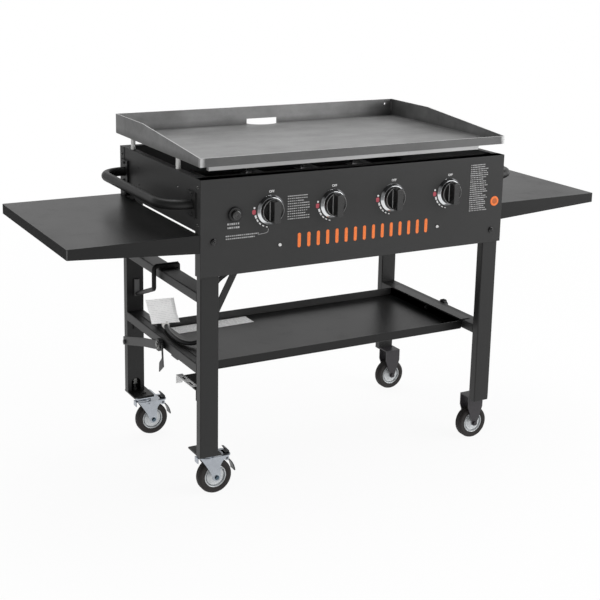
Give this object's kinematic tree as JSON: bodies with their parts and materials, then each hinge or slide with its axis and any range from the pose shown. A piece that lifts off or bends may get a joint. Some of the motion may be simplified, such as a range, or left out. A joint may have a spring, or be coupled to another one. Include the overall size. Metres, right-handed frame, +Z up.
{
  "type": "gas griddle cart",
  "caption": "Outdoor gas griddle cart: flat steel cooking plate on a black firebox with control knobs, side shelves, tube handles, bottom tray and legs on casters.",
  "frame": {"origin": "on the floor under the middle of the cart", "axes": "+X to the right as the cook sees it, the control panel faces -Y, +Z up"},
  "size_m": [1.584, 0.65, 0.926],
  "materials": {
    "cooking_steel": "ground flat, seasoned at the rim",
    "bare_steel": "bare",
    "black_panel_paint": "fine powder coat",
    "black_frame_paint": "satin powder coat",
    "black_shelf_paint": "textured powder coat",
    "plated_steel": "plated",
    "zinc": "bright zinc",
    "brake_paint": "satin",
    "rim_plastic": "moulded",
    "tyre": "matte",
    "brass": "machined",
    "black_plastic": "satin",
    "chrome": "polished",
    "white_ceramic": "glazed",
    "hose_rubber": "matte",
    "grey_metal": "die cast",
    "tag_paper": "matte"
  },
  "bodies": {
    "cart": {"bottle_bow": "black_frame_paint", "bottle_hanger": "black_frame_paint", "bottom_tray": "black_shelf_paint", "burner_supports": "plated_steel", "burners": "plated_steel", "caster_foot_plates": "black_frame_paint", "caster_top_plates": "zinc", "control_panel": "black_panel_paint", "crossbars": "black_frame_paint", "cup_rails": "black_panel_paint", "fasteners": "plated_steel", "fixed_forks": "black_frame_paint", "gas_hose": "hose_rubber", "gas_valves": "brass", "handle_left": "black_shelf_paint", "handle_right": "black_shelf_paint", "igniter_electrodes": "white_ceramic", "igniter_module": "black_plastic", "knob_bezels": "chrome", "leg_bracket": "black_frame_paint", "leg_front_left": "black_frame_paint", "leg_front_right": "black_frame_paint", "leg_rear_left": "black_frame_paint", "leg_rear_right": "black_frame_paint", "leg_stay": "black_frame_paint", "manifold_pipe": "plated_steel", "paper_tag": "tag_paper", "rear_panel": "black_panel_paint", "regulator": "grey_metal", "shelf_left": "black_shelf_paint", "shelf_right": "black_shelf_paint", "side_panel_left": "black_panel_paint", "side_panel_right": "black_panel_paint", "slotted_clip": "zinc"},
    "griddle": {"griddle_top": "cooking_steel", "griddle_supports": "bare_steel"},
    "igniter_button": {"igniter_button": "black_plastic"},
    "grease_cup": {"grease_cup": "black_panel_paint"},
    "tray_knob": {"tray_knob": "black_plastic"},
    "wing_screw": {"wing_screw": "black_plastic"},
    "plug_1": {"valve_plug_1": "brass"},
    "knob_1": {"knob_1": "black_plastic"},
    "plug_2": {"valve_plug_2": "brass"},
    "knob_2": {"knob_2": "black_plastic"},
    "plug_3": {"valve_plug_3": "brass"},
    "knob_3": {"knob_3": "black_plastic"},
    "plug_4": {"valve_plug_4": "brass"},
    "knob_4": {"knob_4": "black_plastic"},
    "caster_front_left": {"yoke_front_left": "zinc"},
    "brake_front_left": {"brake_lever_front_left": "brake_paint"},
    "caster_rear_left": {"yoke_rear_left": "zinc"},
    "brake_rear_left": {"brake_lever_rear_left": "brake_paint"},
    "wheel_front_left": {"rim_front_left": "rim_plastic", "tyre_front_left": "tyre"},
    "wheel_rear_left": {"rim_rear_left": "rim_plastic", "tyre_rear_left": "tyre"},
    "wheel_front_right": {"rim_front_right": "rim_plastic", "tyre_front_right": "tyre"},
    "wheel_rear_right": {"rim_rear_right": "rim_plastic", "tyre_rear_right": "tyre"}
  },
  "joints": [
    {"name": "griddle_lift", "type": "slide", "parent": "cart", "child": "griddle", "axis": [0, 0, 1], "range_m": [0, 0.12]},
    {"name": "valve_turn_1", "type": "hinge", "parent": "cart", "child": "plug_1", "pos_m": [-0.26675, -0.28, 0.753], "axis": [0, -1, 0], "range_deg": [0, 180]},
    {"name": "knob_push_1", "type": "slide", "parent": "plug_1", "child": "knob_1", "axis": [0, 1, 0], "range_m": [0, 0.004], "stiffness_N_per_m": 1500, "springref_m": -0.002},
    {"name": "valve_turn_2", "type": "hinge", "parent": "cart", "child": "plug_2", "pos_m": [-0.08625, -0.28, 0.753], "axis": [0, -1, 0], "range_deg": [0, 180]},
    {"name": "knob_push_2", "type": "slide", "parent": "plug_2", "child": "knob_2", "axis": [0, 1, 0], "range_m": [0, 0.004], "stiffness_N_per_m": 1500, "springref_m": -0.002},
    {"name": "valve_turn_3", "type": "hinge", "parent": "cart", "child": "plug_3", "pos_m": [0.09425, -0.28, 0.753], "axis": [0, -1, 0], "range_deg": [0, 180]},
    {"name": "knob_push_3", "type": "slide", "parent": "plug_3", "child": "knob_3", "axis": [0, 1, 0], "range_m": [0, 0.004], "stiffness_N_per_m": 1500, "springref_m": -0.002},
    {"name": "valve_turn_4", "type": "hinge", "parent": "cart", "child": "plug_4", "pos_m": [0.27475, -0.28, 0.753], "axis": [0, -1, 0], "range_deg": [0, 180]},
    {"name": "knob_push_4", "type": "slide", "parent": "plug_4", "child": "knob_4", "axis": [0, 1, 0], "range_m": [0, 0.004], "stiffness_N_per_m": 1500, "springref_m": -0.002},
    {"name": "igniter_push", "type": "slide", "parent": "cart", "child": "igniter_button", "axis": [0, 1, 0], "range_m": [0, 0.003], "stiffness_N_per_m": 1200, "springref_m": -0.002},
    {"name": "grease_cup_slide", "type": "slide", "parent": "cart", "child": "grease_cup", "axis": [0, 1, 0], "range_m": [0, 0.08]},
    {"name": "tray_knob_turn", "type": "hinge", "parent": "cart", "child": "tray_knob", "pos_m": [0.46, -0.036, 0.341], "axis": [1, 0, 0], "range_deg": [0, 540]},
    {"name": "wing_screw_turn", "type": "hinge", "parent": "cart", "child": "wing_screw", "pos_m": [-0.46, -0.037, 0.352], "axis": [-1, 0, 0], "range_deg": [0, 540]},
    {"name": "swivel_front_left", "type": "hinge", "parent": "cart", "child": "caster_front_left", "pos_m": [-0.417, -0.231, 0.11], "axis": [0, 0, 1], "continuous": true},
    {"name": "wheel_spin_front_left", "type": "hinge", "parent": "caster_front_left", "child": "wheel_front_left", "pos_m": [-0.393, -0.231, 0.0465], "axis": [0, 1, 0], "continuous": true},
    {"name": "brake_press_front_left", "type": "hinge", "parent": "caster_front_left", "child": "brake_front_left", "pos_m": [-0.364, -0.231, 0.095], "axis": [0, 1, 0], "range_deg": [0, 9]},
    {"name": "swivel_rear_left", "type": "hinge", "parent": "cart", "child": "caster_rear_left", "pos_m": [-0.417, 0.198, 0.11], "axis": [0, 0, 1], "continuous": true},
    {"name": "wheel_spin_rear_left", "type": "hinge", "parent": "caster_rear_left", "child": "wheel_rear_left", "pos_m": [-0.393, 0.198, 0.0465], "axis": [0, 1, 0], "continuous": true},
    {"name": "brake_press_rear_left", "type": "hinge", "parent": "caster_rear_left", "child": "brake_rear_left", "pos_m": [-0.364, 0.198, 0.095], "axis": [0, 1, 0], "range_deg": [0, 9]},
    {"name": "wheel_spin_front_right", "type": "hinge", "parent": "cart", "child": "wheel_front_right", "pos_m": [0.43, -0.235, 0.0465], "axis": [0, 1, 0], "continuous": true},
    {"name": "wheel_spin_rear_right", "type": "hinge", "parent": "cart", "child": "wheel_rear_right", "pos_m": [0.43, 0.201, 0.0465], "axis": [0, 1, 0], "continuous": true}
  ]
}
